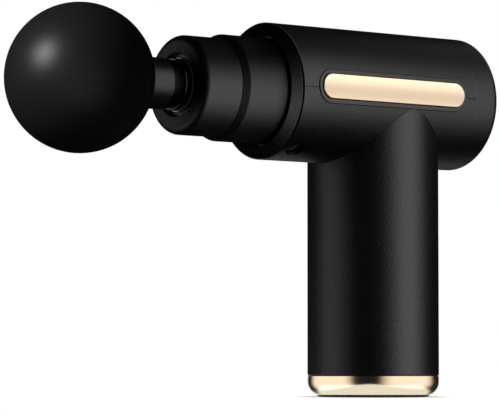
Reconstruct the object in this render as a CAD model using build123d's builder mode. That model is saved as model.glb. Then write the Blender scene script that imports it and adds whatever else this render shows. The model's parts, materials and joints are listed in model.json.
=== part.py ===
from build123d import *
import os
from math import cos, radians, sin

# Percussion massage gun. +X runs along the plunger towards the head, +Z runs up the handle,
# and the origin is the centre of the flat underside. Sizes are in millimetres.

# Outside shape
handle_radius = 22.5
handle_wall = 2.3
barrel_height = 102.2
barrel_radius = 23.0
barrel_wall = 2.2
barrel_rear = -27.0
barrel_front = 48.5
joint_gap = 0.1
edge_break = 0.2
parting_break = 0.08
parting_gap = 0.05
saddle_gap = 0.05
ring_top = 7.2
ring_round = 5.3

# Front bezel and stepped nose
bezel_front = 50.9
bezel_bore = 18.97
sleeve_radius = 17.75
sleeve_end = 66.6
sleeve_tip = 69.0
nose_radius = 16.4
nose_face = 84.0
nose_round = 2.4
carrier_rear = 38.0
tube_rear = 40.0
bush_rear = 46.0
nose_hole = 10.3
bush_radius = 12.0
land_start = 37.5
land_end = 46.2
land_bore = 18.6
bezel_seat = 20.6

# Rear cap and controls
cap_round_start = -35.5
cap_round_depth = 5.7
cap_round_rise = 14.5
cap_wall = 2.0
panel_radius = 12.8
panel_depth = 1.9
button_radius = 4.6
button_travel = 0.8
led_radius = 0.7
led_circle = 9.2

# Side strips
strip_length = 62.2
strip_height = 8.4
strip_middle = 9.8
strip_rise = 0.65
strip_radius = 24.0
frame_length = 64.9
frame_height = 11.4
frame_radius = 23.35
pocket_radius = 21.6

# Housing screws
screw_x = 42.6
screw_angle = 61.5
screw_recess = 3.4
screw_floor = 19.7

# Drive
crank_throw = 3.5
rod_length = 34.5
wrist_x = rod_length - crank_throw
plunger_radius = 9.2
plunger_rear = wrist_x - 7.0
plunger_front = 83.9
running_gap = 0.05
motor_radius = 17.0
motor_bottom = 80.6
motor_top = 94.4
disc_bottom = 95.4
disc_top = 98.3
rod_half = 3.2
shaft_radius = 2.5

# Leads
lead_radius = 0.5
charge_lead_x = -18.0
motor_lead_x = -15.6

# Batteries
cell_radius = 9.15
cell_length = 65.0
cell_bottom = 12.1
cell_circle = 10.6

# Ball head
ball_radius = 24.2
ball_middle = 122.1
ball_wall = 2.6
washer_end = 86.2
washer_radius = 8.65
neck_radius = 7.9
shoulder_start = 88.7
shoulder_radius = 8.2
groove_start = 90.2
groove_radius = 7.7
collar_start = 90.4
collar_radius = 8.45
collar_end = 99.0
stem_radius = 5.8
stem_length = 18.0

barrel_axis = Axis((0, 0, barrel_height), (1, 0, 0))
barrel_plane = Plane(origin=(0, 0, barrel_height), x_dir=(1, 0, 0), z_dir=(0, -1, 0))
handle_plane = Plane.XZ
above_barrel = barrel_height + 50

os.makedirs("parts", exist_ok=True)


# Closed outline on a plane, ready to be turned about an axis
def outline(plane, *points):
    with BuildSketch(plane) as section:
        with BuildLine():
            Polyline(*points, close=True)
        make_face()
    return section.sketch


# Straight ring outline between two stations and two radii
def band(plane, low, high, inner, outer):
    if plane is handle_plane:
        return outline(plane, (inner, low), (outer, low), (outer, high), (inner, high))
    return outline(plane, (low, inner), (high, inner), (high, outer), (low, outer))


def save(builder, name):
    builder.part.label = name
    export_step(builder.part, f"parts/{name}.step")


# Screw plane, looking straight out of the barrel at the given angle round it
def barrel_radial(x, angle, radius):
    outward = (0, cos(radians(angle)), sin(radians(angle)))
    middle = (x, radius * outward[1], barrel_height + radius * outward[2])
    return Plane(origin=middle, x_dir=(1, 0, 0), z_dir=outward)


shell_outline = [
    (barrel_rear, barrel_radius - barrel_wall),
    (land_start, barrel_radius - barrel_wall),
    (land_start, land_bore),
    (land_end, land_bore),
    (land_end, bezel_seat),
    (barrel_front, bezel_seat),
    (barrel_front, barrel_radius - edge_break),
    (barrel_front - edge_break, barrel_radius),
    (barrel_rear, barrel_radius),
]
side_planes = {
    "left": Plane(origin=(strip_middle, 15, barrel_height + strip_rise), x_dir=(1, 0, 0), z_dir=(0, 1, 0)),
    "right": Plane(origin=(strip_middle, -15, barrel_height + strip_rise), x_dir=(1, 0, 0), z_dir=(0, -1, 0)),
}


# Solid that clears a strip frame out of the barrel wall
def strip_pocket(side):
    with BuildPart(mode=Mode.PRIVATE) as pocket:
        with BuildSketch(side_planes[side]):
            SlotOverall(frame_length + joint_gap, frame_height + joint_gap)
        extrude(amount=12)
        revolve(band(barrel_plane, -60, 60, pocket_radius, 30), axis=barrel_axis, mode=Mode.INTERSECT)
    return pocket.part


pockets = [strip_pocket(side) for side in side_planes]

# Lower half of the barrel, open into the handle, with a screw recess on each side
with BuildPart() as barrel_lower_shell:
    revolve(outline(barrel_plane, *shell_outline), axis=barrel_axis)
    with Locations((0, 0, above_barrel - parting_gap / 2)):
        Box(200, 100, 100, mode=Mode.SUBTRACT)
    parting = barrel_lower_shell.edges().filter_by(Axis.X).group_by(Axis.Z)[-1]
    chamfer([edge for edge in parting if abs(edge.center().Y) > barrel_radius - 0.5], parting_break)
    with Locations((0, 0, barrel_height - 20)):
        Cylinder(handle_radius - 3.5, 30, mode=Mode.SUBTRACT)
    for angle in (-screw_angle, screw_angle - 180):
        with BuildSketch(barrel_radial(screw_x, angle, screw_floor)):
            Circle(screw_recess)
        extrude(amount=8, mode=Mode.SUBTRACT)
        with BuildSketch(barrel_radial(screw_x, angle, 15)):
            Circle(1.5)
        extrude(amount=8, mode=Mode.SUBTRACT)
    add(pockets, mode=Mode.SUBTRACT)
save(barrel_lower_shell, "barrel_lower_shell")

# Upper half of the barrel
with BuildPart() as barrel_upper_shell:
    revolve(outline(barrel_plane, *shell_outline), axis=barrel_axis)
    with Locations((0, 0, barrel_height - 50 + parting_gap / 2)):
        Box(200, 100, 100, mode=Mode.SUBTRACT)
    parting = barrel_upper_shell.edges().filter_by(Axis.X).group_by(Axis.Z)[0]
    chamfer([edge for edge in parting if abs(edge.center().Y) > barrel_radius - 0.5], parting_break)
    add(pockets, mode=Mode.SUBTRACT)
save(barrel_upper_shell, "barrel_upper_shell")

# Handle tube, saddle-cut where it meets the barrel, with a port for the charging socket
port_height = 20.0
port_width = 8.94
port_thick = 3.16
handle_bottom = ring_top + joint_gap
with BuildPart() as handle_tube:
    revolve(
        band(handle_plane, handle_bottom, barrel_height, handle_radius - handle_wall, handle_radius),
        axis=Axis.Z,
    )
    revolve(band(barrel_plane, -60, 60, 0, barrel_radius + saddle_gap), axis=barrel_axis, mode=Mode.SUBTRACT)
    lower_rim = handle_tube.edges().filter_by(GeomType.CIRCLE).group_by(Axis.Z)[0].sort_by(SortBy.RADIUS)[-1]
    chamfer(lower_rim, edge_break)
    with BuildSketch(Plane(origin=(-30, 0, port_height), x_dir=(0, 1, 0), z_dir=(1, 0, 0))):
        RectangleRounded(port_width + 0.3, port_thick + 0.3, 1.7)
    extrude(amount=15, mode=Mode.SUBTRACT)
save(handle_tube, "handle_tube")

# Coned front ring with a spigot that seats in the shells
with BuildPart() as front_bezel:
    profile = outline(
        barrel_plane,
        (land_end + joint_gap, bezel_bore),
        (bezel_front - 0.35, bezel_bore),
        (bezel_front, bezel_bore + 0.25),
        (barrel_front + joint_gap + edge_break, barrel_radius - 0.35),
        (barrel_front + joint_gap, barrel_radius - 0.45),
        (barrel_front + joint_gap, bezel_seat - joint_gap),
        (land_end + joint_gap, bezel_seat - joint_gap),
    )
    revolve(profile, axis=barrel_axis)
save(front_bezel, "front_bezel")

# Outer nose stage, with the rear carrier that the housing screws hold
nose_tail = 14.45
with BuildPart() as nose_sleeve:
    profile = outline(
        barrel_plane,
        (carrier_rear, nose_tail + saddle_gap),
        (sleeve_tip, nose_tail + saddle_gap),
        (sleeve_tip, nose_radius),
        (sleeve_end, sleeve_radius),
        (land_end, sleeve_radius),
        (land_end, land_bore - saddle_gap),
        (carrier_rear, land_bore - saddle_gap),
    )
    revolve(profile, axis=barrel_axis)
    step_edges = nose_sleeve.edges().filter_by(GeomType.CIRCLE)
    fillet([edge for edge in step_edges if abs(edge.center().X - sleeve_end) < 0.1], 0.6)
    for angle in (-screw_angle, screw_angle - 180):
        with BuildSketch(barrel_radial(screw_x, angle, nose_tail + 1.0)):
            Circle(1.3)
        extrude(amount=6, mode=Mode.SUBTRACT)
save(nose_sleeve, "nose_sleeve")

# Inner nose stage: the long tube that ends in the rounded front face
bore_end = nose_face - 2.6
with BuildPart() as nose_tube:
    profile = outline(
        barrel_plane,
        (tube_rear, bush_radius + saddle_gap),
        (bore_end, bush_radius + saddle_gap),
        (bore_end, nose_hole),
        (nose_face, nose_hole),
        (nose_face, nose_radius),
        (sleeve_tip + joint_gap, nose_radius),
        (sleeve_tip + joint_gap, nose_tail),
        (tube_rear, nose_tail),
    )
    revolve(profile, axis=barrel_axis)
    front_edges = nose_tube.edges().filter_by(GeomType.CIRCLE).group_by(Axis.X)[-1].sort_by(SortBy.RADIUS)
    fillet(front_edges[-1], nose_round)
    hole_edge = nose_tube.edges().filter_by(GeomType.CIRCLE).group_by(Axis.X)[-1].sort_by(SortBy.RADIUS)[0]
    chamfer(hole_edge, 0.4)
save(nose_tube, "nose_tube")

# Plain bush that guides the plunger
with BuildPart() as plunger_bush:
    inner = plunger_radius + running_gap
    revolve(band(barrel_plane, bush_rear, bore_end - joint_gap, inner, bush_radius), axis=barrel_axis)
save(plunger_bush, "plunger_bush")

# Rear cap with its rounded end, a panel seat and holes for the button and the light pipes
cap_end = cap_round_start - cap_round_depth
cap_flat = barrel_radius - cap_round_rise
cap_inner = cap_end + panel_depth + cap_wall


# Outer outline of the rounded end, as points from the rim to the flat
def cap_curve(steps, largest):
    points = []
    for step in range(steps + 1):
        angle = radians(90 * step / steps)
        radius = cap_flat + cap_round_rise * cos(angle)
        if radius <= largest:
            points.append((cap_round_start - cap_round_depth * sin(angle), radius))
    return points


with BuildPart() as rear_cap:
    with BuildSketch(barrel_plane):
        with BuildLine():
            Spline(
                *cap_curve(12, barrel_radius + 1),
                tangents=[(-1, 0), (0, -1)],
            )
            Polyline(
                (cap_end, cap_flat),
                (cap_end, 0),
                (cap_inner, 0),
                (cap_inner, cap_flat + 4),
                (cap_round_start + 1, barrel_radius - cap_wall - 0.6),
                (barrel_rear - joint_gap, barrel_radius - cap_wall - 0.6),
                (barrel_rear + 3, barrel_radius - cap_wall - 0.6),
                (barrel_rear + 3, barrel_radius - barrel_wall - saddle_gap),
                (barrel_rear - joint_gap, barrel_radius - barrel_wall - saddle_gap),
                (barrel_rear - joint_gap, barrel_radius - 0.05),
                (barrel_rear - joint_gap - 0.3, barrel_radius),
                (cap_round_start, barrel_radius),
            )
        make_face()
    revolve(axis=barrel_axis)
    panel_seat = cap_end + panel_depth + joint_gap
    revolve(
        band(barrel_plane, cap_end - 5, panel_seat, 0, panel_radius + joint_gap),
        axis=barrel_axis,
        mode=Mode.SUBTRACT,
    )
    with BuildSketch(Plane.YZ.offset(cap_end - 5)):
        with Locations((0, barrel_height)):
            Circle(button_radius + 0.3)
    extrude(amount=12, mode=Mode.SUBTRACT)
save(rear_cap, "rear_cap")

# Round control panel that closes the rear of the cap
with BuildPart() as control_panel:
    with BuildSketch(barrel_plane):
        with BuildLine():
            Spline(
                *cap_curve(12, barrel_radius + 1),
                tangents=[(-1, 0), (0, -1)],
            )
            Polyline(
                (cap_end, cap_flat),
                (cap_end, 0),
                (cap_round_start, 0),
                (cap_round_start, barrel_radius),
            )
        make_face()
    revolve(axis=barrel_axis)
    revolve(
        band(barrel_plane, cap_end - 5, cap_end + panel_depth, button_radius + 0.3, panel_radius),
        axis=barrel_axis,
        mode=Mode.INTERSECT,
    )
    with BuildSketch(Plane.YZ.offset(cap_end - 5)):
        with Locations((0, barrel_height)):
            with PolarLocations(led_circle, 5, start_angle=30, angular_range=120, endpoint=True):
                Circle(led_radius + 0.05)
    extrude(amount=12, mode=Mode.SUBTRACT)
save(control_panel, "control_panel")

# Light pipes that show through the panel, in an arc over the button
with BuildPart() as led_windows:
    with BuildSketch(Plane.YZ.offset(cap_end + 0.1)):
        with Locations((0, barrel_height)):
            with PolarLocations(led_circle, 5, start_angle=30, angular_range=120, endpoint=True):
                Circle(led_radius)
    extrude(amount=panel_depth - 0.1)
save(led_windows, "led_windows")

# Push button, stepped so that it can't fall out of the cap
with BuildPart() as power_button:
    profile = outline(
        barrel_plane,
        (cap_end - 0.7, 0),
        (cap_end - 0.7, button_radius - 0.5),
        (cap_end - 0.3, button_radius),
        (cap_inner + 0.2, button_radius),
        (cap_inner + 0.2, button_radius + 1.2),
        (cap_inner + 1.2, button_radius + 1.2),
        (cap_inner + 1.2, 0),
    )
    revolve(profile, axis=barrel_axis)
save(power_button, "power_button")

# Switch behind the button, with its plunger clear by the button's travel
board_x = cap_inner + 1.2 + button_travel + 2.0
with BuildPart() as button_switch:
    with BuildSketch(Plane.YZ.offset(board_x - 1.9)):
        with Locations((0, barrel_height)):
            RectangleRounded(6.0, 6.0, 0.5)
    extrude(amount=1.8)
save(button_switch, "button_switch")

# Round control board behind the cap
board_thick = 1.2
with BuildPart() as control_board:
    revolve(band(barrel_plane, board_x, board_x + board_thick, 0, 18.0), axis=barrel_axis)
    with BuildSketch(Plane.YZ.offset(board_x + board_thick)):
        with Locations((-6, barrel_height + 6), (7, barrel_height + 5)):
            Rectangle(7, 7)
        with Locations((0, barrel_height - 8)):
            Rectangle(12, 5)
    extrude(amount=1.4)
save(control_board, "control_board")

# Black frames and convex trim strips that cover the parting line on both sides
for side, side_plane in side_planes.items():
    with BuildPart() as strip_frame:
        with BuildSketch(side_plane):
            SlotOverall(frame_length, frame_height)
        extrude(amount=12)
        revolve(
            band(barrel_plane, -60, 60, pocket_radius + saddle_gap, frame_radius),
            axis=barrel_axis,
            mode=Mode.INTERSECT,
        )
        with BuildSketch(side_plane):
            SlotOverall(strip_length + joint_gap, strip_height + joint_gap)
        extrude(amount=12, mode=Mode.SUBTRACT)
        outer_face = strip_frame.faces().sort_by(Axis.Y)[-1 if side == "left" else 0]
        fillet(outer_face.edges(), 0.2)
    save(strip_frame, f"strip_frame_{side}")
    with BuildPart() as trim_strip:
        with BuildSketch(side_plane):
            SlotOverall(strip_length, strip_height)
        extrude(amount=12)
        revolve(
            band(barrel_plane, -60, 60, pocket_radius + saddle_gap, strip_radius),
            axis=barrel_axis,
            mode=Mode.INTERSECT,
        )
        outer_face = trim_strip.faces().sort_by(Axis.Y)[-1 if side == "left" else 0]
        fillet(outer_face.edges(), 0.45)
    save(trim_strip, f"trim_strip_{side}")

# Cap screws that hold the shells to the nose carrier
with BuildPart() as housing_screws:
    for angle in (-screw_angle, screw_angle - 180):
        with BuildSketch(barrel_radial(screw_x, angle, screw_floor + 0.05)):
            Circle(2.4)
        extrude(amount=1.5)
        with BuildSketch(barrel_radial(screw_x, angle, screw_floor + 0.55)):
            RegularPolygon(1.3, 6)
        extrude(amount=2, mode=Mode.SUBTRACT)
        with BuildSketch(barrel_radial(screw_x, angle, nose_tail + 1.2)):
            Circle(1.25)
        extrude(amount=screw_floor - nose_tail - 1.1)
save(housing_screws, "housing_screws")

# Polished base ring with a rounded lower edge
pad_radius = 13.4
ring_floor = 2.5
ring_bore = handle_radius - handle_wall + joint_gap
with BuildPart() as base_ring:
    revolve(
        outline(
            handle_plane,
            (pad_radius + joint_gap, 0),
            (handle_radius, 0),
            (handle_radius, ring_top),
            (ring_bore, ring_top),
            (ring_bore, ring_floor),
            (pad_radius + joint_gap, ring_floor),
        ),
        axis=Axis.Z,
    )
    rims = base_ring.edges().filter_by(GeomType.CIRCLE)
    fillet(rims.group_by(Axis.Z)[0].sort_by(SortBy.RADIUS)[-1], ring_round)
    rims = base_ring.edges().filter_by(GeomType.CIRCLE)
    chamfer(rims.group_by(Axis.Z)[-1].sort_by(SortBy.RADIUS)[-1], edge_break)
save(base_ring, "base_ring")

# Inner cup that joins the ring to the handle
insert_radius = handle_radius - handle_wall - joint_gap
insert_floor = 4.6
insert_screws = [(8 * cos(radians(angle)), 8 * sin(radians(angle))) for angle in (90, 210, 330)]
with BuildPart() as base_insert:
    revolve(
        outline(
            handle_plane,
            (0, ring_floor + 0.1),
            (insert_radius, ring_floor + 0.1),
            (insert_radius, 9.4),
            (insert_radius - 1.5, 9.4),
            (insert_radius - 1.5, insert_floor),
            (0, insert_floor),
        ),
        axis=Axis.Z,
    )
    with Locations(*[(x, y, ring_floor + 0.1) for x, y in insert_screws]):
        Hole(1.35, depth=30)
        Cylinder(2.3, 2.4, mode=Mode.SUBTRACT)
save(base_insert, "base_insert")

with BuildPart() as base_screws:
    with Locations(*[(x, y, 0) for x, y in insert_screws]):
        with Locations((0, 0, ring_floor + 0.2)):
            Cylinder(2.1, 1.05, align=(Align.CENTER, Align.CENTER, Align.MIN))
            Cylinder(1.2, 8.0, align=(Align.CENTER, Align.CENTER, Align.MIN))
save(base_screws, "base_screws")

# Rubber foot pad, flush with the ring's flat edge
with BuildPart() as foot_pad:
    revolve(band(handle_plane, 0, ring_floor, 0, pad_radius), axis=Axis.Z)
save(foot_pad, "foot_pad")

# Battery pack: three standing cells between two trays, with welded links
cell_places = [
    (cell_circle * cos(radians(angle)), cell_circle * sin(radians(angle))) for angle in (0, 120, 240)
]
tray_radius = handle_radius - handle_wall - 0.15
with BuildPart() as battery_tray_lower:
    with BuildSketch(Plane.XY.offset(9.6)):
        Circle(tray_radius)
    extrude(amount=2.0)
    with BuildSketch(Plane.XY.offset(insert_floor + 0.1)):
        with Locations(*insert_screws):
            Circle(2.6)
    extrude(amount=5.5)
    with BuildSketch(Plane.XY.offset(insert_floor - 1)):
        with Locations(*insert_screws):
            Circle(1.25)
    extrude(amount=8, mode=Mode.SUBTRACT)
save(battery_tray_lower, "battery_tray_lower")

for place, word in zip(cell_places, ("front", "left", "right")):
    with BuildPart() as battery_cell:
        with BuildSketch(Plane.XY.offset(cell_bottom)):
            with Locations(place):
                Circle(cell_radius)
        extrude(amount=cell_length - 1.0)
        fillet(battery_cell.edges().filter_by(GeomType.CIRCLE), 0.6)
        with BuildSketch(Plane.XY.offset(cell_bottom + cell_length - 1.2)):
            with Locations(place):
                Circle(2.7)
        extrude(amount=1.2)
    save(battery_cell, f"battery_cell_{word}")

cell_top = cell_bottom + cell_length
with BuildPart() as cell_links:
    for level, first, second in ((cell_bottom - 0.3, 0, 1), (cell_top + 0.05, 1, 2)):
        middle_x = (cell_places[first][0] + cell_places[second][0]) / 2
        middle_y = (cell_places[first][1] + cell_places[second][1]) / 2
        turn = 150 if first == 0 else 90
        with BuildSketch(Plane.XY.offset(level)):
            with Locations(Location((middle_x, middle_y), turn)):
                RectangleRounded(23, 5, 1)
        extrude(amount=0.2)
save(cell_links, "cell_links")

with BuildPart() as battery_tray_upper:
    with BuildSketch(Plane.XY.offset(cell_top + 0.35)):
        Circle(tray_radius)
        with Locations((charge_lead_x - 0.5, 0)):
            Circle(3, mode=Mode.SUBTRACT)
    extrude(amount=1.4)
save(battery_tray_upper, "battery_tray_upper")

# Charging socket shell and its contact tongue, in the gap between the two rear cells
socket_mouth = -handle_radius + 0.35
with BuildPart() as charging_socket:
    with BuildSketch(Plane(origin=(socket_mouth, 0, port_height), x_dir=(0, 1, 0), z_dir=(1, 0, 0))):
        RectangleRounded(port_width, port_thick, 1.55)
    extrude(amount=7.3)
    with BuildSketch(Plane(origin=(socket_mouth, 0, port_height), x_dir=(0, 1, 0), z_dir=(1, 0, 0))):
        RectangleRounded(port_width - 0.6, port_thick - 0.6, 1.25)
    extrude(amount=6.6, mode=Mode.SUBTRACT)
save(charging_socket, "charging_socket")

with BuildPart() as socket_tongue:
    with BuildSketch(Plane(origin=(socket_mouth + 0.9, 0, port_height), x_dir=(0, 1, 0), z_dir=(1, 0, 0))):
        Rectangle(6.7, 0.7)
    extrude(amount=5.6)
save(socket_tongue, "socket_tongue")

board_back = socket_mouth + 7.4
terminal_top = port_height + 10
with BuildPart() as charging_board:
    with Locations((board_back + 0.5, 0, port_height + 6)):
        Box(0.8, 6.4, 26)
    with Locations((board_back - 0.7, 0, terminal_top - 2)):
        Box(1.6, 4.4, 4)
save(charging_board, "charging_board")

# Mount plate that carries the motor on top of the battery pack
mount_radius = handle_radius - 3.8
with BuildPart() as motor_mount:
    with BuildSketch(Plane.XY.offset(cell_top + 1.85)):
        Circle(mount_radius)
        with PolarLocations(16.0, 2, start_angle=60, angular_range=240):
            Circle(1.6, mode=Mode.SUBTRACT)
        with Locations((charge_lead_x, 0)):
            Circle(1.7, mode=Mode.SUBTRACT)
    extrude(amount=motor_bottom - cell_top - 1.95)
save(motor_mount, "motor_mount")

# Motor: steel can, end plate, wound stator, ring magnet, shaft and two bearings
can_wall = 1.2
bearing_radius = 5.0
with BuildPart() as motor_can:
    revolve(
        outline(
            handle_plane,
            (0, motor_bottom),
            (motor_radius, motor_bottom),
            (motor_radius, motor_top - 1.4),
            (motor_radius - can_wall, motor_top - 1.4),
            (motor_radius - can_wall, motor_bottom + can_wall),
            (bearing_radius + 1.2, motor_bottom + can_wall),
            (bearing_radius + 1.2, motor_bottom + 3.4),
            (bearing_radius + 0.02, motor_bottom + 3.4),
            (bearing_radius + 0.02, motor_bottom + 0.8),
            (0, motor_bottom + 0.8),
        ),
        axis=Axis.Z,
    )
save(motor_can, "motor_can")

with BuildPart() as motor_end_plate:
    revolve(
        outline(
            handle_plane,
            (shaft_radius + 1.0, motor_top),
            (motor_radius, motor_top),
            (motor_radius, motor_top - 1.3),
            (motor_radius - can_wall - 0.1, motor_top - 1.3),
            (motor_radius - can_wall - 0.1, motor_top - 2.0),
            (bearing_radius + 1.2, motor_top - 2.0),
            (bearing_radius + 1.2, motor_top - 3.3),
            (bearing_radius + 0.02, motor_top - 3.3),
            (bearing_radius + 0.02, motor_top - 0.7),
            (shaft_radius + 1.0, motor_top - 0.7),
        ),
        axis=Axis.Z,
    )
save(motor_end_plate, "motor_end_plate")

bearing_bore = shaft_radius + running_gap
bearing_width = 2.4
with BuildPart() as motor_bearings:
    for low in (motor_bottom + 0.9, motor_top - 0.8 - bearing_width):
        revolve(band(handle_plane, low, low + bearing_width, bearing_bore, bearing_radius), axis=Axis.Z)
save(motor_bearings, "motor_bearings")

stator_bore = 10.4
with BuildPart() as stator_core:
    with BuildSketch(Plane.XY.offset(motor_bottom + 3.8)):
        Circle(motor_radius - can_wall - 0.1)
        Circle(14.2, mode=Mode.SUBTRACT)
        with PolarLocations(12.6, 9):
            Rectangle(4.4, 3.0)
    extrude(amount=motor_top - motor_bottom - 7.6)
save(stator_core, "stator_core")

with BuildPart() as motor_coils:
    with BuildSketch(Plane.XY.offset(motor_bottom + 2.9)):
        with PolarLocations(12.5, 9):
            RectangleRounded(2.6, 5.4, 1.0)
            Rectangle(2.6, 3.2, mode=Mode.SUBTRACT)
    extrude(amount=motor_top - motor_bottom - 5.8)
save(motor_coils, "motor_coils")

with BuildPart() as rotor_magnet:
    revolve(
        band(handle_plane, motor_bottom + 4.0, motor_top - 4.0, shaft_radius + 0.01, stator_bore - 0.45),
        axis=Axis.Z,
    )
save(rotor_magnet, "rotor_magnet")

with BuildPart() as motor_shaft:
    with BuildSketch(Plane.XY.offset(motor_bottom + 1.0)):
        Circle(shaft_radius)
    extrude(amount=disc_top - motor_bottom - 1.0)
save(motor_shaft, "motor_shaft")



# Round lead of one wire along a route of straight runs and arcs
def lead(points, radii):
    with BuildPart(mode=Mode.PRIVATE) as wire:
        with BuildLine() as route:
            FilletPolyline(*points, radius=radii)
        with BuildSketch(Plane(origin=points[0], z_dir=route.line % 0)):
            Circle(lead_radius)
        sweep(path=route.line)
    return wire.part


# Two leads from the charging board up behind the cells to the plug on the control board
plug_face = board_x + board_thick + 1.4
plug_height = barrel_height - 8
with BuildPart() as charge_leads:
    for y in (-0.8, 0.8):
        route_points = [
            (board_back - 0.8, y, terminal_top + 0.05),
            (board_back - 0.8, y, terminal_top + 5),
            (charge_lead_x, y, terminal_top + 13),
            (charge_lead_x, y, plug_height),
            (plug_face + 0.05, y, plug_height),
        ]
        add(lead(route_points, [8, 8, 5]))
save(charge_leads, "charge_leads")

# Three leads from the motor's end plate to the control board
with BuildPart() as motor_leads:
    for y in (-1.6, 0, 1.6):
        route_points = [
            (motor_lead_x, y, motor_top + 0.05),
            (motor_lead_x, y, barrel_height),
            (board_x + board_thick + 0.05, y, barrel_height),
        ]
        add(lead(route_points, [3.4]))
save(motor_leads, "motor_leads")

# Crank disc with its counterweight on the side away from the crank pin
with BuildPart() as crank_disc:
    revolve(band(handle_plane, disc_bottom, disc_top, shaft_radius + 0.01, 9.0), axis=Axis.Z)
save(crank_disc, "crank_disc")

with BuildPart() as counterweight:
    revolve(band(handle_plane, disc_bottom, disc_top, 9.02, 13.5), axis=Axis.Z)
    with Locations((-50 + 1.0, 0, disc_bottom)):
        Box(100, 60, 20, mode=Mode.SUBTRACT)
save(counterweight, "counterweight")

# Connecting rod with a ball bearing at the crank and a plain eye at the wrist
rod_plane = Plane.XY.offset(barrel_height - rod_half)
eye_radius = 4.4
big_radius = 8.0
rod_bearing_radius = 6.5
with BuildPart() as connecting_rod:
    with BuildSketch(rod_plane):
        with Locations((-crank_throw, 0)):
            Circle(big_radius)
        with Locations((wrist_x, 0)):
            Circle(eye_radius)
        with Locations(((wrist_x - crank_throw) / 2, 0)):
            Rectangle(rod_length, 5.0)
        with Locations((-crank_throw, 0)):
            Circle(rod_bearing_radius + 0.02, mode=Mode.SUBTRACT)
        with Locations((wrist_x, 0)):
            Circle(2.0 + running_gap, mode=Mode.SUBTRACT)
    extrude(amount=2 * rod_half)
    with BuildSketch(Plane.XY.offset(barrel_height + rod_half - 1.2)):
        with Locations((wrist_x / 2 + 1.5, 0)):
            SlotOverall(14, 2.4)
    extrude(amount=5, mode=Mode.SUBTRACT)
save(connecting_rod, "connecting_rod")

crank_pin_radius = 2.0
with BuildPart() as rod_bearing:
    with BuildSketch(Plane.XY.offset(barrel_height - 2.5)):
        with Locations((-crank_throw, 0)):
            Circle(rod_bearing_radius)
            Circle(crank_pin_radius + 0.02, mode=Mode.SUBTRACT)
    extrude(amount=5.0)
save(rod_bearing, "rod_bearing")

with BuildPart() as crank_pin:
    with BuildSketch(Plane.XY.offset(disc_top + 0.3)):
        with Locations((-crank_throw, 0)):
            Circle(crank_pin_radius)
    extrude(amount=barrel_height + 3.4 - disc_top - 0.3)
    with BuildSketch(Plane.XY.offset(barrel_height + 2.6)):
        with Locations((-crank_throw, 0)):
            Circle(3.2)
    extrude(amount=1.2)
save(crank_pin, "crank_pin")

# Plunger: clevis at the rear and a bored tube that takes the head's stem
bore_radius = stem_radius + running_gap
bore_bottom = plunger_front - stem_length - 0.6
slot_front = wrist_x + eye_radius + 1.0
with BuildPart() as plunger:
    revolve(band(barrel_plane, plunger_rear, plunger_front, 0, plunger_radius), axis=barrel_axis)
    chamfer(plunger.edges().filter_by(GeomType.CIRCLE).sort_by(Axis.X)[-1], 0.4)
    stem_bore = band(barrel_plane, bore_bottom, plunger_front + 5, 0, bore_radius)
    revolve(stem_bore, axis=barrel_axis, mode=Mode.SUBTRACT)
    rear_length = slot_front - plunger_rear + 10
    with Locations((slot_front - rear_length / 2, 0, barrel_height)):
        Box(rear_length, 60, 2 * rod_half + 0.6, mode=Mode.SUBTRACT)
    with BuildSketch(Plane.XY.offset(barrel_height - 20)):
        with Locations((wrist_x, 0)):
            Circle(2.01)
    extrude(amount=40, mode=Mode.SUBTRACT)
    revolve(band(barrel_plane, slot_front + 5, bore_bottom + 1, 0, 4.6), axis=barrel_axis, mode=Mode.SUBTRACT)
save(plunger, "plunger")

with BuildPart() as wrist_pin:
    with BuildSketch(Plane.XY.offset(barrel_height - 8.6)):
        with Locations((wrist_x, 0)):
            Circle(2.0)
    extrude(amount=17.2)
save(wrist_pin, "wrist_pin")

# Ball head: hollow ball, core with collar, neck and stem, metal washer and a rubber ring
neck_start = plunger_front + 0.1
ring_x = plunger_front - 7.5
core_tip = ball_middle - 4
core_radius = 7.5
with BuildPart() as massage_ball:
    with Locations((ball_middle, 0, barrel_height)):
        Sphere(ball_radius)
        Sphere(ball_radius - ball_wall, mode=Mode.SUBTRACT)
    core_bore = band(barrel_plane, ball_middle - 40, ball_middle - 15, 0, core_radius + 0.05)
    revolve(core_bore, axis=barrel_axis, mode=Mode.SUBTRACT)
save(massage_ball, "massage_ball")

with BuildPart() as head_core:
    profile = outline(
        barrel_plane,
        (plunger_front - stem_length, 0),
        (plunger_front - stem_length, stem_radius - 1.6),
        (plunger_front - stem_length + 1.8, stem_radius),
        (ring_x - 0.8, stem_radius),
        (ring_x - 0.8, stem_radius - 1.0),
        (ring_x + 0.8, stem_radius - 1.0),
        (ring_x + 0.8, stem_radius),
        (neck_start, stem_radius),
        (washer_end + 0.05, stem_radius),
        (washer_end + 0.05, neck_radius),
        (shoulder_start, neck_radius),
        (shoulder_start, shoulder_radius),
        (groove_start, shoulder_radius),
        (groove_start, groove_radius),
        (collar_start, groove_radius),
        (collar_start, collar_radius - 0.15),
        (collar_start + 0.15, collar_radius),
        (collar_end, collar_radius),
        (collar_end, core_radius),
        (core_tip, core_radius),
        (core_tip, 5.5),
        (101.0, 5.5),
        (101.0, 0),
    )
    revolve(profile, axis=barrel_axis)
save(head_core, "head_core")

with BuildPart() as head_washer:
    revolve(band(barrel_plane, neck_start, washer_end, stem_radius + 0.03, washer_radius), axis=barrel_axis)
    rims = head_washer.edges().filter_by(GeomType.CIRCLE).sort_by(SortBy.RADIUS)[-2:]
    fillet(rims, 0.3)
save(head_washer, "head_washer")

with BuildPart() as stem_ring:
    with BuildSketch(barrel_plane):
        with Locations((ring_x, stem_radius - 0.47)):
            Ellipse(0.7, 0.47)
    revolve(axis=barrel_axis)
save(stem_ring, "stem_ring")
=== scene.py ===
import json
import math
import bmesh
import bpy
from mathutils import Matrix, Vector

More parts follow.
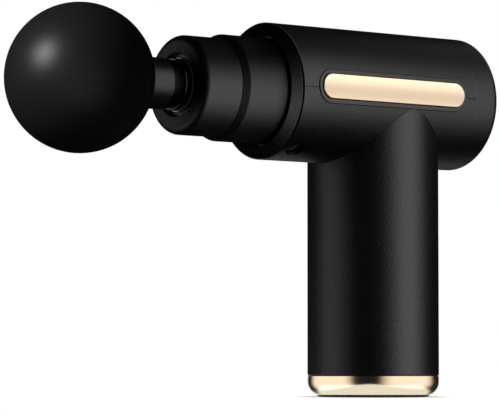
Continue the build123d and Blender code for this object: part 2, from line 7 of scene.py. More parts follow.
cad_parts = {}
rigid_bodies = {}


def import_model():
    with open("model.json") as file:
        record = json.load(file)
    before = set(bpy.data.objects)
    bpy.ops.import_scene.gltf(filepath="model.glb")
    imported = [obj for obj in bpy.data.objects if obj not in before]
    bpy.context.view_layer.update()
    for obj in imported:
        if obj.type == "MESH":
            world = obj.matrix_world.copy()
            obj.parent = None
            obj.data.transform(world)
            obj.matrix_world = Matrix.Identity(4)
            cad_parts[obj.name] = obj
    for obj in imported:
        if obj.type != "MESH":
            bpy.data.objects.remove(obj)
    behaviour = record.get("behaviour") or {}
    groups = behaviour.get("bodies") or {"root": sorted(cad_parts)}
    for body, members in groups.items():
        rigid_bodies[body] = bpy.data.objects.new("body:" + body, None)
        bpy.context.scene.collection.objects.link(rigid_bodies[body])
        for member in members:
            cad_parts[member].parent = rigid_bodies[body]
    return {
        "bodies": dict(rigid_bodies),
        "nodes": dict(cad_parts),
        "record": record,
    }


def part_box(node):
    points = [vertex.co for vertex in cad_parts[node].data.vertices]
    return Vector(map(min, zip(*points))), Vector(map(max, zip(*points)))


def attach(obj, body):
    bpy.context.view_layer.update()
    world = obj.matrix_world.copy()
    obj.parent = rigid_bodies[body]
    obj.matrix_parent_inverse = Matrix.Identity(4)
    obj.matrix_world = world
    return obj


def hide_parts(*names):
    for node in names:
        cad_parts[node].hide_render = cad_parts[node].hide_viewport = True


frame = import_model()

scene = bpy.context.scene
nodes = frame["nodes"]
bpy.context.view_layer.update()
keepers = set(nodes.values()) | set(frame["bodies"].values())
for leftover in [o for o in bpy.data.objects if o not in keepers]:
    bpy.data.objects.remove(leftover)

ballMiddle = (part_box("massage_ball")[0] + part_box("massage_ball")[1]) / 2
barrelHeight = ballMiddle.z
print("frame loaded")

# camera: a long lens a little above the floor, looking slightly up
cameraSet = {
    "place": (0.6583, 0.7810, 0.0070),
    "heading": 232.24,   # degrees round from +X
    "rise": 3.256,       # degrees above level
    "lens": 214.2,
    "sensor": 36.0,
    "near": 0.01,
    "far": 60,
}


def aim(heading, rise):
    a, e = math.radians(heading), math.radians(rise)
    return Vector((math.cos(e) * math.cos(a), math.cos(e) * math.sin(a), math.sin(e)))


lensData = bpy.data.cameras.new("camera")
lensData.lens = cameraSet["lens"]
lensData.sensor_width = cameraSet["sensor"]
lensData.clip_start = cameraSet["near"]
lensData.clip_end = cameraSet["far"]
camera = bpy.data.objects.new("camera", lensData)
scene.collection.objects.link(camera)
camera.location = cameraSet["place"]
camera.rotation_euler = aim(cameraSet["heading"], cameraSet["rise"]).to_track_quat("-Z", "Y").to_euler()
scene.camera = camera
scene.view_settings.view_transform = "Standard"
print("camera placed")


# small helpers for shader trees
def newMaterial(name):
    mat = bpy.data.materials.new(name)
    mat.use_nodes = True
    tree = mat.node_tree
    return mat, tree, tree.nodes["Principled BSDF"]


def addNode(tree, kind, **values):
    node = tree.nodes.new(kind)
    for key, value in values.items():
        if hasattr(node, key):
            setattr(node, key, value)
        else:
            node.inputs[key.replace("_", " ")].default_value = value
    return node


def addMath(tree, operation, first, second):
    node = addNode(tree, "ShaderNodeMath", operation=operation)
    for socket, value in zip(node.inputs, (first, second)):
        if isinstance(value, (int, float)):
            socket.default_value = value
        else:
            tree.links.new(value, socket)
    return node.outputs[0]


def mixColors(tree, factor, first, second):
    node = addNode(tree, "ShaderNodeMix", data_type="RGBA")
    tree.links.new(factor, node.inputs["Factor"])
    for socket, value in ((node.inputs[6], first), (node.inputs[7], second)):
        if isinstance(value, tuple):
            socket.default_value = (*value, 1)
        else:
            tree.links.new(value, socket)
    return node.outputs[2]


def newGroup(name, inputs, outputs):
    group = bpy.data.node_groups.new(name, "ShaderNodeTree")
    for label, kind, value in inputs:
        socket = group.interface.new_socket(name=label, in_out="INPUT", socket_type=kind)
        if value is not None:
            socket.default_value = value
    for label, kind in outputs:
        group.interface.new_socket(name=label, in_out="OUTPUT", socket_type=kind)
    return group, group.nodes.new("NodeGroupInput"), group.nodes.new("NodeGroupOutput")


def useGroup(tree, group, **values):
    node = tree.nodes.new("ShaderNodeGroup")
    node.node_tree = group
    for key, value in values.items():
        node.inputs[key].default_value = value
    return node


# fine moulded grain: a height, a speckled colour and a roughness that drift over the surface
def makeGrainGroup():
    group, gin, gout = newGroup(
        "mouldedGrain",
        [("Scale", "NodeSocketFloat", 4000.0), ("Roughness", "NodeSocketFloat", 0.4),
         ("Drift", "NodeSocketFloat", 0.05), ("Base", "NodeSocketColor", (0.01, 0.01, 0.01, 1)),
         ("Speck", "NodeSocketColor", (0.02, 0.02, 0.02, 1))],
        [("Height", "NodeSocketFloat"), ("Roughness", "NodeSocketFloat"), ("Color", "NodeSocketColor")],
    )
    link = group.links.new
    coords = group.nodes.new("ShaderNodeTexCoord")
    fine = addNode(group, "ShaderNodeTexNoise", Detail=3.0)
    link(coords.outputs["Object"], fine.inputs["Vector"])
    link(gin.outputs["Scale"], fine.inputs["Scale"])
    broad = addNode(group, "ShaderNodeTexNoise", Scale=60.0, Detail=4.0)
    link(coords.outputs["Object"], broad.inputs["Vector"])
    middle = addMath(group, "SUBTRACT", broad.outputs["Fac"], 0.5)
    drift = addMath(group, "MULTIPLY", middle, gin.outputs["Drift"])
    mask = addNode(group, "ShaderNodeMapRange", From_Min=0.45, From_Max=0.75)
    link(fine.outputs["Fac"], mask.inputs["Value"])
    link(fine.outputs["Fac"], gout.inputs["Height"])
    link(addMath(group, "ADD", drift, gin.outputs["Roughness"]), gout.inputs["Roughness"])
    tint = mixColors(group, mask.outputs["Result"], gin.outputs["Base"], gin.outputs["Speck"])
    link(tint, gout.inputs["Color"])
    return group


# turned or brushed metal: thin lines that run along one axis, with soft handling marks over them
def makeBrushGroup():
    group, gin, gout = newGroup(
        "brushedLines",
        [("Stretch", "NodeSocketVector", (30.0, 3000.0, 3000.0)), ("Roughness", "NodeSocketFloat", 0.25),
         ("Drift", "NodeSocketFloat", 0.08), ("Base", "NodeSocketColor", (0.8, 0.8, 0.8, 1)),
         ("Shade", "NodeSocketFloat", 0.9)],
        [("Height", "NodeSocketFloat"), ("Roughness", "NodeSocketFloat"), ("Color", "NodeSocketColor")],
    )
    link = group.links.new
    coords = group.nodes.new("ShaderNodeTexCoord")
    scale = addNode(group, "ShaderNodeVectorMath", operation="MULTIPLY")
    link(coords.outputs["Object"], scale.inputs[0])
    link(gin.outputs["Stretch"], scale.inputs[1])
    lines = addNode(group, "ShaderNodeTexNoise", Scale=1.0, Detail=3.0)
    link(scale.outputs[0], lines.inputs["Vector"])
    marks = addNode(group, "ShaderNodeTexNoise", Scale=120.0, Detail=5.0)
    link(coords.outputs["Object"], marks.inputs["Vector"])
    mixed = addMath(group, "ADD", lines.outputs["Fac"], marks.outputs["Fac"])
    drift = addMath(group, "MULTIPLY", addMath(group, "SUBTRACT", mixed, 1.0), gin.outputs["Drift"])
    dark = addNode(group, "ShaderNodeVectorMath", operation="SCALE")
    link(gin.outputs["Base"], dark.inputs[0])
    link(gin.outputs["Shade"], dark.inputs["Scale"])
    link(lines.outputs["Fac"], gout.inputs["Height"])
    link(addMath(group, "ADD", drift, gin.outputs["Roughness"]), gout.inputs["Roughness"])
    link(mixColors(group, lines.outputs["Fac"], gin.outputs["Base"], dark.outputs[0]), gout.inputs["Color"])
    return group


# even stack of layers or turns, counted along any distance: 0 in the grooves and 1 on the crests
def makeStackGroup():
    group, gin, gout = newGroup(
        "evenStack",
        [("Along", "NodeSocketFloat", 0.0), ("Pitch", "NodeSocketFloat", 0.0005)],
        [("Crest", "NodeSocketFloat")],
    )
    count = addMath(group, "DIVIDE", gin.outputs["Along"], gin.outputs["Pitch"])
    wave = addMath(group, "PINGPONG", count, 0.5)
    group.links.new(addMath(group, "MULTIPLY", wave, 2.0), gout.inputs["Crest"])
    return group


grainGroup = makeGrainGroup()
brushGroup = makeBrushGroup()
stackGroup = makeStackGroup()


# height along Z, radius out from an axis parallel to Z, or any other kind out from one parallel to X
def measureAlong(tree, kind, place=(0.0, 0.0, 0.0)):
    coords = tree.nodes.new("ShaderNodeTexCoord")
    shift = addNode(tree, "ShaderNodeVectorMath", operation="SUBTRACT")
    tree.links.new(coords.outputs["Object"], shift.inputs[0])
    shift.inputs[1].default_value = place
    if kind == "height":
        parts = tree.nodes.new("ShaderNodeSeparateXYZ")
        tree.links.new(shift.outputs[0], parts.inputs[0])
        return parts.outputs["Z"]
    flat = addNode(tree, "ShaderNodeVectorMath", operation="MULTIPLY")
    tree.links.new(shift.outputs[0], flat.inputs[0])
    flat.inputs[1].default_value = (1, 1, 0) if kind == "radius" else (0, 1, 1)
    length = addNode(tree, "ShaderNodeVectorMath", operation="LENGTH")
    tree.links.new(flat.outputs[0], length.inputs[0])
    return length.outputs["Value"]


def liftNormal(tree, shader, height, strength, distance=0.00015):
    bump = addNode(tree, "ShaderNodeBump", Strength=strength, Distance=distance)
    tree.links.new(height, bump.inputs["Height"])
    tree.links.new(bump.outputs["Normal"], shader.inputs["Normal"])


def plasticMaterial(name, base, speck, roughness, drift=0.05, scale=4000.0, bump=0.05, specular=0.5,
                    coat=0.0):
    mat, tree, shader = newMaterial(name)
    grain = useGroup(tree, grainGroup, Scale=scale, Roughness=roughness, Drift=drift,
                     Base=(*base, 1), Speck=(*speck, 1))
    liftNormal(tree, shader, grain.outputs["Height"], bump)
    tree.links.new(grain.outputs["Color"], shader.inputs["Base Color"])
    tree.links.new(grain.outputs["Roughness"], shader.inputs["Roughness"])
    shader.inputs["Specular IOR Level"].default_value = specular
    shader.inputs["Coat Weight"].default_value = coat
    return mat


def metalMaterial(name, base, roughness, drift=0.08, stretch=(30.0, 3000.0, 3000.0), bump=0.03,
                  shade=0.92):
    mat, tree, shader = newMaterial(name)
    brush = useGroup(tree, brushGroup, Stretch=stretch, Roughness=roughness, Drift=drift,
                     Base=(*base, 1), Shade=shade)
    liftNormal(tree, shader, brush.outputs["Height"], bump)
    tree.links.new(brush.outputs["Color"], shader.inputs["Base Color"])
    tree.links.new(brush.outputs["Roughness"], shader.inputs["Roughness"])
    shader.inputs["Metallic"].default_value = 1.0
    return mat


# layers or turns with a dark line between them: laminations, windings and bearing rings
def stackedMaterial(name, kind, pitch, crest, groove, roughness, metallic):
    mat, tree, shader = newMaterial(name)
    stack = useGroup(tree, stackGroup, Pitch=pitch)
    tree.links.new(measureAlong(tree, kind), stack.inputs["Along"])
    liftNormal(tree, shader, stack.outputs["Crest"], 0.6, pitch / 2)
    edge = addMath(tree, "POWER", stack.outputs["Crest"], 0.5)
    tree.links.new(mixColors(tree, edge, groove, crest), shader.inputs["Base Color"])
    shader.inputs["Roughness"].default_value = roughness
    shader.inputs["Metallic"].default_value = metallic
    return mat


# shrink-wrapped cell: plain film round the side, bare nickel above the wrap
def cellMaterial(name, film, topHeight):
    nickel = (0.6, 0.58, 0.53)
    foldShade = 0.7   # how dark the film goes in its wrinkles
    mat, tree, shader = newMaterial(name)
    height = measureAlong(tree, "height")
    bare = addMath(tree, "GREATER_THAN", height, topHeight)
    wrinkle = addNode(tree, "ShaderNodeTexNoise", Scale=400.0, Detail=2.0)
    shade = mixColors(tree, wrinkle.outputs["Fac"], film, tuple(foldShade * part for part in film))
    tree.links.new(mixColors(tree, bare, shade, nickel), shader.inputs["Base Color"])
    tree.links.new(bare, shader.inputs["Metallic"])
    liftNormal(tree, shader, wrinkle.outputs["Fac"], 0.1)
    shader.inputs["Roughness"].default_value = 0.3
    return mat


# circuit board: solder mask over fine copper tracks
def boardMaterial(name, mask, track):
    mat, tree, shader = newMaterial(name)
    coords = tree.nodes.new("ShaderNodeTexCoord")
    cells = addNode(tree, "ShaderNodeTexBrick", Scale=500.0, Mortar_Size=0.06, Color1=(*mask, 1),
                    Color2=(*mask, 1), Mortar=(*track, 1))
    turned = addNode(tree, "ShaderNodeMapping")
    turned.inputs["Rotation"].default_value = (0, math.radians(90), 0)
    tree.links.new(coords.outputs["Object"], turned.inputs["Vector"])
    tree.links.new(turned.outputs["Vector"], cells.inputs["Vector"])
    tree.links.new(cells.outputs["Color"], shader.inputs["Base Color"])
    liftNormal(tree, shader, cells.outputs["Fac"], 0.2)
    shader.inputs["Roughness"].default_value = 0.35
    return mat


# head core: satin collar, and a neck painted darker and more metallic wherever it is thinner than the
# collar, as painted shade in the groove behind the collar
def coreMaterial(name, neckRadius):
    mat, tree, shader = newMaterial(name)
    grain = useGroup(tree, grainGroup, Roughness=0.36, Drift=0.04, Base=(0.002, 0.002, 0.002, 1),
                     Speck=(0.005, 0.005, 0.005, 1))
    neckMetal = 0.88   # how metallic the neck's painted shade is
    radius = measureAlong(tree, "barrel", (0.0, 0.0, barrelHeight))
    shadedNeck = addMath(tree, "LESS_THAN", radius, neckRadius)
    tree.links.new(addMath(tree, "MULTIPLY", shadedNeck, neckMetal), shader.inputs["Metallic"])
    tree.links.new(grain.outputs["Color"], shader.inputs["Base Color"])
    tree.links.new(grain.outputs["Roughness"], shader.inputs["Roughness"])
    shader.inputs["Specular IOR Level"].default_value = 0.36
    liftNormal(tree, shader, grain.outputs["Height"], 0.04)
    return mat


def grey(level):
    return (level, level, level)


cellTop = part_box("battery_cell_front")[1].z
wrapTop = cellTop - 0.0012   # height where the cells' film ends
collarRadius = 0.0083   # the head core is painted darker, as painted shade, where it is thinner than this
black = grey(0.001)
blackSpeck = grey(0.004)
turnedX = (3000.0, 60.0, 60.0)   # fine rings round the X axis
turnedZ = (60.0, 60.0, 3000.0)   # fine rings round the Z axis
lengthwise = (20.0, 5000.0, 5000.0)   # fine lines along the X axis
crosswise = (60.0, 2500.0, 60.0)   # fine lines across the Y axis
cast = (900.0, 900.0, 900.0)   # even in every direction
finishes = {
    "shell": plasticMaterial("blackShell", black, blackSpeck, 0.36, drift=0.06, scale=2600.0, bump=0.65),
    "bezel": plasticMaterial("satinBezel", black, blackSpeck, 0.36, scale=2800.0, bump=0.7),
    "nose": plasticMaterial("satinNose", black, blackSpeck, 0.38, scale=2800.0, bump=0.8),
    "bush": plasticMaterial("paleBush", (0.62, 0.6, 0.54), (0.7, 0.68, 0.62), 0.42),
    "panel": plasticMaterial("glossPanel", grey(0.003), grey(0.004), 0.16, drift=0.12, bump=0.01, coat=0.5),
    "button": plasticMaterial("satinButton", grey(0.008), grey(0.012), 0.36, scale=3000.0),
    "led": plasticMaterial("frostedPipe", (0.55, 0.57, 0.6), (0.7, 0.72, 0.75), 0.3),
    "frame_trim": plasticMaterial("frameTrim", grey(0.002), blackSpeck, 0.3, bump=0.03),
    "strip": metalMaterial("champagneStrip", (0.9, 0.70, 0.5), 0.32, stretch=lengthwise),
    "base_metal": metalMaterial("roseGoldRing", (0.97, 0.73, 0.51), 0.17, stretch=turnedZ, bump=0.01),
    "inner_plastic": plasticMaterial("filledNylon", (0.035, 0.036, 0.038), grey(0.09), 0.5, scale=1500.0,
                                     bump=0.3),
    "pad": plasticMaterial("rubberPad", grey(0.012), grey(0.02), 0.7, scale=3000.0, bump=0.6),
    "screw": metalMaterial("zincScrew", (0.42, 0.42, 0.44), 0.3, stretch=cast),
    "socket_metal": metalMaterial("nickelSocket", (0.62, 0.6, 0.56), 0.25),
    "contact": plasticMaterial("socketTongue", grey(0.01), grey(0.02), 0.4),
    "board": boardMaterial("greenBoard", (0.008, 0.06, 0.025), (0.03, 0.16, 0.06)),
    "switch": plasticMaterial("switchBody", (0.02, 0.02, 0.022), grey(0.05), 0.45),
    "cell_wrap": cellMaterial("cellWrap", (0.02, 0.14, 0.3), wrapTop),
    "link": metalMaterial("nickelLink", (0.66, 0.64, 0.6), 0.32, stretch=crosswise),
    "motor_metal": metalMaterial("turnedCan", (0.55, 0.56, 0.58), 0.3, stretch=turnedZ, bump=0.1),
    "bearing": stackedMaterial("bearingRings", "radius", 0.0012, (0.7, 0.7, 0.72), grey(0.05), 0.2, 1.0),
    "stator": stackedMaterial("laminations", "height", 0.00035, (0.35, 0.36, 0.38), (0.05, 0.05, 0.055),
                              0.45, 0.8),
    "winding": stackedMaterial("copperTurns", "radius", 0.0004, (0.75, 0.28, 0.12), (0.2, 0.05, 0.02),
                               0.28, 1.0),
    "magnet": plasticMaterial("sinteredMagnet", (0.07, 0.07, 0.075), grey(0.14), 0.35, scale=2500.0,
                              bump=0.3),
    "shaft": metalMaterial("groundShaft", (0.7, 0.71, 0.73), 0.14, stretch=turnedZ, bump=0.02),
    "crank": metalMaterial("turnedCrank", (0.6, 0.61, 0.63), 0.28, stretch=turnedZ, bump=0.1),
    "weight": metalMaterial("brassWeight", (0.72, 0.5, 0.2), 0.3, stretch=turnedZ, bump=0.1),
    "rod": plasticMaterial("mouldedRod", (0.05, 0.05, 0.052), grey(0.1), 0.42, scale=1800.0, bump=0.3),
    "plunger": metalMaterial("polishedPlunger", (0.66, 0.66, 0.68), 0.16, stretch=turnedX, bump=0.02),
    "ball": plasticMaterial("satinBall", grey(0.012), grey(0.016), 0.4, drift=0.04, scale=3000.0, bump=0.06,
                            specular=0.25),
    "core": coreMaterial("satinCore", collarRadius),
    "wire": plasticMaterial("siliconeLead", (0.3, 0.012, 0.01), (0.36, 0.02, 0.015), 0.5, scale=2000.0),
    "washer": metalMaterial("blackenedWasher", (0.12, 0.12, 0.125), 0.16, stretch=turnedX, bump=0.02),
    "rubber_ring": plasticMaterial("rubberRing", grey(0.01), grey(0.015), 0.55, bump=0.2),
}
slotOf = {entry["node"]: entry["material_slot"] for entry in frame["record"]["subparts"]}
for name, obj in nodes.items():
    for slot in obj.material_slots:
        slot.material = finishes[slotOf[name]]
print("materials made")


pieceSet = {"merge": 1e-7, "sharp": 35}   # metres between merged corners, degrees of a crisp edge


# detail pieces: each is made in its place, rides on its body and may stand for a CAD node
def finishPiece(bm, name, material, body, replaced=None):
    bmesh.ops.remove_doubles(bm, verts=bm.verts, dist=pieceSet["merge"])
    bmesh.ops.recalc_face_normals(bm, faces=bm.faces)
    mesh = bpy.data.meshes.new(name)
    bm.to_mesh(mesh)
    bm.free()
    mesh.materials.append(material)
    mesh.shade_smooth()
    mesh.set_sharp_from_angle(angle=math.radians(pieceSet["sharp"]))
    piece = bpy.data.objects.new(name, mesh)
    scene.collection.objects.link(piece)
    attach(piece, body)
    if replaced:
        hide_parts(replaced)


# turn an outline round an axis; an open one has its ends on the axis, so both kinds close
def spinOutline(bm, points, centre, axis, steps, closed=False):
    corners = [bm.verts.new(point) for point in points]
    following = corners[1:] + corners[:1] if closed else corners[1:]
    edges = [bm.edges.new(pair) for pair in zip(corners, following)]
    bmesh.ops.spin(bm, geom=corners + edges, cent=centre, axis=axis, angle=math.tau, steps=steps,
                   use_merge=True)


# foot pad with ring grooves, so that it grips a table
def makeFootPad():
    padSet = {"grooves": 6, "first": 0.0022, "pitch": 0.0019, "half": 0.0004, "deep": 0.0006,
              "slope": 0.0001, "edge": 0.0002, "steps": 120}
    low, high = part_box("foot_pad")
    outline = [(0, low.z)]
    for count in range(padSet["grooves"]):
        middle = padSet["first"] + count * padSet["pitch"]
        half, slope, top = padSet["half"], padSet["slope"], low.z + padSet["deep"]
        outline += [(middle - half, low.z), (middle - half + slope, top)]
        outline += [(middle + half - slope, top), (middle + half, low.z)]
    outline += [(high.x - padSet["edge"], low.z), (high.x, low.z + padSet["edge"])]
    outline += [(high.x, high.z), (0, high.z)]
    bm = bmesh.new()
    points = [(radius, 0, height) for radius, height in outline]
    spinOutline(bm, points, (0, 0, 0), (0, 0, 1), padSet["steps"])
    finishPiece(bm, "footPadTread", finishes["pad"], "housing", "foot_pad")


# push button with a dished face and a rounded rim
buttonSet = {"radius": 0.0046, "dishRadius": 0.0039, "dishDepth": 0.0004, "dishSteps": 8, "rim": 0.0004,
             "rimSteps": 6, "flange": 0.001, "steps": 96}
markSet = {"radius": 0.0017, "half": 0.0002, "proud": 0.00012, "sunk": 0.0002, "opening": 70, "steps": 40,
           "barLength": 0.0018, "barThick": 0.0003, "barSunk": 0.0001, "barEdge": 0.00006}


def dishDepthAt(radius):
    return buttonSet["dishDepth"] * (1 - (radius / buttonSet["dishRadius"]) ** 2)


def makeButton():
    low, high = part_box("power_button")
    outline = []
    for count in range(buttonSet["dishSteps"] + 1):
        radius = buttonSet["dishRadius"] * count / buttonSet["dishSteps"]
        outline.append((low.x + dishDepthAt(radius), radius))
    rim = buttonSet["rim"]
    for count in range(1, buttonSet["rimSteps"] + 1):
        turn = math.radians(90 * count / buttonSet["rimSteps"])
        radius = buttonSet["radius"] - rim + rim * math.sin(turn)
        outline.append((low.x + rim * (1 - math.cos(turn)), radius))
    flangeFront = high.x - buttonSet["flange"]
    outline += [(flangeFront, buttonSet["radius"]), (flangeFront, high.y), (high.x, high.y), (high.x, 0)]
    bm = bmesh.new()
    points = [(x, 0, barrelHeight + radius) for x, radius in outline]
    spinOutline(bm, points, (0, 0, barrelHeight), (1, 0, 0), buttonSet["steps"])
    finishPiece(bm, "powerButtonDished", finishes["button"], "button", "power_button")


# generic power mark, slightly raised in the dish: an open ring and an upright bar
def makeButtonMark():
    centre = (0, 0, barrelHeight)
    middle, half = markSet["radius"], markSet["half"]
    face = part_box("power_button")[0].x + dishDepthAt(middle)
    front, back = face - markSet["proud"], face + markSet["sunk"]
    bm = bmesh.new()
    corners = [(front, middle - half), (front, middle + half), (back, middle + half), (back, middle - half)]
    section = bm.faces.new([bm.verts.new((x, 0, barrelHeight + radius)) for x, radius in corners])
    start = Matrix.Rotation(math.radians(markSet["opening"] / 2), 4, "X")
    bmesh.ops.rotate(bm, verts=bm.verts, cent=centre, matrix=start)
    bmesh.ops.spin(bm, geom=[*section.verts, *section.edges, section], cent=centre, axis=(1, 0, 0),
                   angle=math.radians(360 - markSet["opening"]), steps=markSet["steps"])
    bar = bmesh.ops.create_cube(bm, size=1)["verts"]
    bmesh.ops.scale(bm, verts=bar, vec=(markSet["barThick"], 2 * half, markSet["barLength"]))
    barPlace = (face + markSet["barSunk"] - markSet["proud"] / 2, 0, barrelHeight + middle)
    bmesh.ops.translate(bm, verts=bar, vec=barPlace)
    barEdges = list({edge for corner in bar for edge in corner.link_edges})
    bmesh.ops.bevel(bm, geom=barEdges, offset=markSet["barEdge"], affect="EDGES", segments=2, profile=0.5,
                    material=-1)
    finishPiece(bm, "buttonMark", finishes["led"], "button")


# light pipes with domed ends, in an arc over the button
def makeLightPipes():
    pipeSet = {"count": 5, "from": 30, "to": 150, "radius": 0.0007, "dome": 0.0003, "domeSteps": 5,
               "steps": 28}
    low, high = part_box("led_windows")
    circle = (high.y - pipeSet["radius"]) / math.cos(math.radians(pipeSet["from"]))
    spread = pipeSet["to"] - pipeSet["from"]
    bm = bmesh.new()
    for count in range(pipeSet["count"]):
        turn = math.radians(pipeSet["from"] + spread * count / (pipeSet["count"] - 1))
        centre = Vector((0, circle * math.cos(turn), barrelHeight + circle * math.sin(turn)))
        outline = []
        for step in range(pipeSet["domeSteps"] + 1):
            slant = math.radians(90 * step / pipeSet["domeSteps"])
            tip = low.x + pipeSet["dome"] * (1 - math.cos(slant))
            outline.append((tip, pipeSet["radius"] * math.sin(slant)))
        outline += [(high.x, pipeSet["radius"]), (high.x, 0)]
        points = [centre + Vector((x, 0, radius)) for x, radius in outline]
        spinOutline(bm, points, centre, (1, 0, 0), pipeSet["steps"])
    finishPiece(bm, "lightPipes", finishes["led"], "housing", "led_windows")


# plated contacts on both faces of the socket's tongue
def makeContacts():
    contactSet = {"count": 12, "pitch": 0.0005, "wide": 0.00028, "long": 0.0042, "thick": 0.00006,
                  "start": 0.0004, "edge": 0.00002}
    low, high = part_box("socket_tongue")
    size = (contactSet["long"], contactSet["wide"], contactSet["thick"])
    along = low.x + contactSet["start"] + contactSet["long"] / 2
    bm = bmesh.new()
    for face in (low.z, high.z):
        for count in range(contactSet["count"]):
            across = (count - (contactSet["count"] - 1) / 2) * contactSet["pitch"]
            bar = bmesh.ops.create_cube(bm, size=1)["verts"]
            bmesh.ops.scale(bm, verts=bar, vec=size)
            bmesh.ops.translate(bm, verts=bar, vec=(along, across, face))
    rims = list(bm.edges)
    bmesh.ops.bevel(bm, geom=rims, offset=contactSet["edge"], affect="EDGES", segments=1, profile=0.5,
                    material=-1)
    gold = metalMaterial("platedContact", (0.83, 0.62, 0.28), 0.25)
    finishPiece(bm, "tongueContacts", gold, "housing")


# soft seal between the ring and the handle, with a rounded lip set in from the outside
def makeJointSeal():
    sealSet = {"inset": 0.0002, "width": 0.0017, "tall": 0.0001, "lipSteps": 6, "steps": 180}
    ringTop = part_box("base_ring")[1].z
    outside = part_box("base_ring")[1].x - sealSet["inset"]
    half = sealSet["tall"] / 2
    outline = [(outside - sealSet["width"], ringTop)]
    for step in range(sealSet["lipSteps"] + 1):
        turn = math.radians(180 * step / sealSet["lipSteps"] - 90)
        outline.append((outside - half + half * math.cos(turn), ringTop + half + half * math.sin(turn)))
    outline.append((outside - sealSet["width"], ringTop + sealSet["tall"]))
    bm = bmesh.new()
    points = [(radius, 0, height) for radius, height in outline]
    spinOutline(bm, points, (0, 0, 0), (0, 0, 1), sealSet["steps"], closed=True)
    finishPiece(bm, "jointSeal", finishes["rubber_ring"], "housing")


makeFootPad()
makeJointSeal()
makeButton()
makeButtonMark()
makeLightPipes()
makeContacts()
print("detail pieces made")


# flat piece of the stage, made from a finished bmesh
def makeStagePiece(name, bm, material):
    mesh = bpy.data.meshes.new(name)
    bm.to_mesh(mesh)
    bm.free()
    mesh.materials.append(material)
    piece = bpy.data.objects.new(name, mesh)
    scene.collection.objects.link(piece)
    return piece


# pale glowing floor with a painted contact shadow where the ring stands on it, and clear from below so that
# the underside can be seen
floorSet = {"size": 20, "shadeStart": 0.016, "shadeEnd": 0.0295, "darkest": 0.08, "stretch": 2}


def floorMaterial():
    mat, tree, shader = newMaterial("paleFloor")
    shader.inputs["Base Color"].default_value = (*grey(0.25), 1)
    shader.inputs["Roughness"].default_value = 0.9
    shader.inputs["Specular IOR Level"].default_value = 0.0
    coords = tree.nodes.new("ShaderNodeTexCoord")
    turned = addNode(tree, "ShaderNodeMapping", vector_type="TEXTURE")
    turned.inputs["Rotation"].default_value = (0, 0, math.radians(cameraSet["heading"]))
    turned.inputs["Scale"].default_value = (floorSet["stretch"], 1, 1)
    tree.links.new(coords.outputs["Object"], turned.inputs["Vector"])
    length = addNode(tree, "ShaderNodeVectorMath", operation="LENGTH")
    tree.links.new(turned.outputs["Vector"], length.inputs[0])
    # painted contact shadow: the floor's glow dims near the ring, stretched along the camera's heading
    glow = addNode(tree, "ShaderNodeMapRange", interpolation_type="SMOOTHSTEP",
                   From_Min=floorSet["shadeStart"], From_Max=floorSet["shadeEnd"],
                   To_Min=floorSet["darkest"], To_Max=1.0)
    tree.links.new(length.outputs["Value"], glow.inputs["Value"])
    shader.inputs["Emission Color"].default_value = (1, 1, 1, 1)
    tree.links.new(glow.outputs["Result"], shader.inputs["Emission Strength"])
    surface = tree.nodes.new("ShaderNodeNewGeometry")
    tree.links.new(addMath(tree, "SUBTRACT", 1.0, surface.outputs["Backfacing"]), shader.inputs["Alpha"])
    return mat


# only the camera sees the floor, so that it doesn't brighten the dark parts
bm = bmesh.new()
bmesh.ops.create_grid(bm, x_segments=1, y_segments=1, size=floorSet["size"])
floor = makeStagePiece("floor", bm, floorMaterial())
floor.visible_diffuse = False
floor.visible_glossy = False
floor.visible_shadow = False

# dark patch under the ring, painted shade that stands for the floor's contact shadow in the ring's
# reflections: the camera doesn't see it
shadowPatchSet = {"radius": 0.0195, "below": 0.00005, "segments": 64}
bm = bmesh.new()
bmesh.ops.create_circle(bm, cap_ends=True, segments=shadowPatchSet["segments"], radius=shadowPatchSet["radius"])
bmesh.ops.translate(bm, verts=bm.verts, vec=(0, 0, -shadowPatchSet["below"]))
# painted shade: the object named contact is this dark disc where the floor's contact shadow would be
contact = makeStagePiece("contact", bm, finishes["pad"])
contact.visible_camera = False
contact.visible_shadow = False
print("floor laid")


# white surround for the camera, a dim one for the object
surroundSet = {"seen": 1.0, "dim": 0.008}


def makeSurround():
    world = bpy.data.worlds.new("surround")
    scene.world = world
    world.use_nodes = True
    tree = world.node_tree
    tree.nodes.clear()
    seen = addNode(tree, "ShaderNodeBackground", Strength=surroundSet["seen"])
    seen.inputs["Color"].default_value = (1, 1, 1, 1)
    dim = addNode(tree, "ShaderNodeBackground", Strength=surroundSet["dim"])
    dim.inputs["Color"].default_value = (1, 1, 1, 1)
    path = tree.nodes.new("ShaderNodeLightPath")
    pick = tree.nodes.new("ShaderNodeMixShader")
    out = tree.nodes.new("ShaderNodeOutputWorld")
    tree.links.new(path.outputs["Is Camera Ray"], pick.inputs[0])
    tree.links.new(dim.outputs[0], pick.inputs[1])
    tree.links.new(seen.outputs[0], pick.inputs[2])
    tree.links.new(pick.outputs[0], out.inputs[0])


makeSurround()

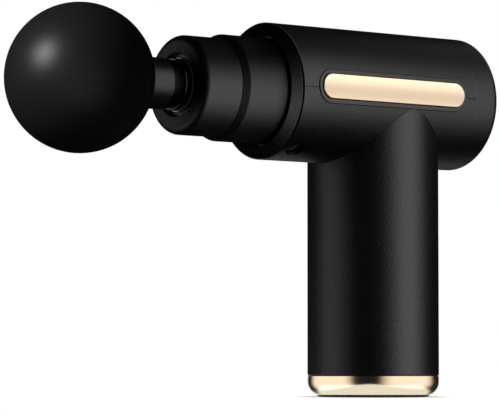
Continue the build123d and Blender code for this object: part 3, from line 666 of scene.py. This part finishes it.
# soft panels: heading and rise are the way from the object to the panel, in degrees round from +X
# and above level, wide and tall are half angles in degrees, soft is how much of a panel fades
# towards its edges, and only names the pieces that the panel lights
panels = {
    "rightPanel": dict(heading=114, rise=6, wide=35, tall=54, soft=0.75, glow=2.25, only="main"),
    "nosePanel": dict(heading=116, rise=-13, wide=42, tall=54, soft=0.8, glow=2.0, only="nose"),
    "leftPanel": dict(heading=-26, rise=-6, wide=33, tall=30, soft=0.6, glow=0.85, only="case"),
    "topPanel": dict(heading=2, rise=46, wide=30, tall=16, soft=0.6, glow=2.0, only="body"),
    "farPanel": dict(heading=-95, rise=-26, wide=30, tall=12, soft=0.6, glow=1.6, only="body"),
    "backPanel": dict(heading=222, rise=-28, wide=28, tall=11, soft=0.6, glow=0.35, only="body"),
    "rearPanel": dict(heading=190, rise=30, wide=22, tall=14, soft=0.6, glow=0.5, only="case"),
    "bezelPanel": dict(heading=8, rise=-9, wide=14, tall=17, soft=0.6, glow=4.4, only="bezel"),
    "stripHigh": dict(heading=117, rise=32, wide=44, tall=24, soft=0.3, glow=1.7, only="strip"),
    "stripMiddle": dict(heading=117, rise=0, wide=44, tall=12, soft=0.3, glow=0.7, only="strip"),
    "stripLow": dict(heading=117, rise=-27, wide=44, tall=25, soft=0.3, glow=1.05, only="strip"),
    "stripFar": dict(heading=-70, rise=10, wide=60, tall=45, soft=0.5, glow=1.2, only="strip"),
    "stripFront": dict(heading=45, rise=-15, wide=22, tall=22, soft=0.5, glow=1.2, only="strip"),
    "ringRight": dict(heading=120, rise=-7, wide=62, tall=46, soft=0.75, glow=1.2, only="ring"),
    "ringLeft": dict(heading=-36, rise=-7, wide=55, tall=46, soft=0.6, glow=1.15, only="ring"),
    "ringFar": dict(heading=232, rise=0, wide=20, tall=40, soft=0.5, glow=0.9, only="ring"),
    "ringBelow": dict(heading=52, rise=-90, wide=64, tall=64, soft=0.3, glow=1.08, only="ring",
                      tint=(0.78, 0.95, 1.0)),
    "ballKey": dict(heading=-4, rise=29, wide=17, tall=17, soft=0.8, glow=27.0, only="head"),
    "ballFill": dict(heading=62, rise=-18, wide=52, tall=46, soft=0.8, glow=0.4, only="head"),
    "ballFar": dict(heading=232, rise=8, wide=9, tall=9, soft=0.6, glow=1.5, only="head"),
}
farAway = 0.8   # metres from the object to every panel
panelAim = Vector((0.01, 0, 0.1))   # point that the panels face, except for the ball's
litNames = {
    "head": {"massage_ball"},
    "strip": {"trim_strip_left", "trim_strip_right"},
    "ring": {"base_ring"},
    "bezel": {"front_bezel"},
    "nose": {"nose_sleeve", "nose_tube"},
    "stem": {"plunger", "plunger_bush", "head_core", "head_washer", "stem_ring"},
}
widerSets = {"main": ("body", "stem"), "case": ("body", "stem", "nose")}
litSets = {name: bpy.data.collections.new("lit_" + name) for name in ("body", *litNames, *widerSets)}
for obj in [o for o in scene.objects if o.type == "MESH" and o not in (floor, contact)]:
    group = next((key for key, members in litNames.items() if obj.name in members), "body")
    litSets[group].objects.link(obj)
    for wider, groups in widerSets.items():
        if group in groups:
            litSets[wider].objects.link(obj)


# emission that fades from the middle of a panel to its edges
def fadePanel(data, soft):
    data.use_nodes = True
    tree = data.node_tree
    across = tree.nodes.new("ShaderNodeSeparateXYZ")
    surface = tree.nodes.new("ShaderNodeNewGeometry")
    tree.links.new(surface.outputs["Parametric"], across.inputs[0])
    fades = []
    for side in ("X", "Y"):
        fromEdge = addMath(tree, "MULTIPLY", addMath(tree, "PINGPONG", across.outputs[side], 0.5), 2.0)
        fade = addNode(tree, "ShaderNodeMapRange", interpolation_type="SMOOTHSTEP", From_Max=soft)
        tree.links.new(fromEdge, fade.inputs["Value"])
        fades.append(fade.outputs["Result"])
    tree.links.new(addMath(tree, "MULTIPLY", *fades), tree.nodes["Emission"].inputs["Strength"])


for name, panel in panels.items():
    data = bpy.data.lights.new(name, "AREA")
    data.shape = "RECTANGLE"
    data.size = 2 * farAway * math.tan(math.radians(panel["wide"]))
    data.size_y = 2 * farAway * math.tan(math.radians(panel["tall"]))
    data.energy = panel["glow"] * data.size * data.size_y * math.pi
    data.color = panel.get("tint", (1, 1, 1))
    fadePanel(data, panel["soft"])
    light = bpy.data.objects.new(name, data)
    scene.collection.objects.link(light)
    target = ballMiddle if panel["only"] == "head" else panelAim
    way = aim(panel["heading"], panel["rise"])
    light.location = target + way * farAway
    light.rotation_euler = (-way).to_track_quat("-Z", "Y").to_euler()
    light.visible_camera = False
    light.light_linking.receiver_collection = litSets[panel["only"]]
print("lights placed")
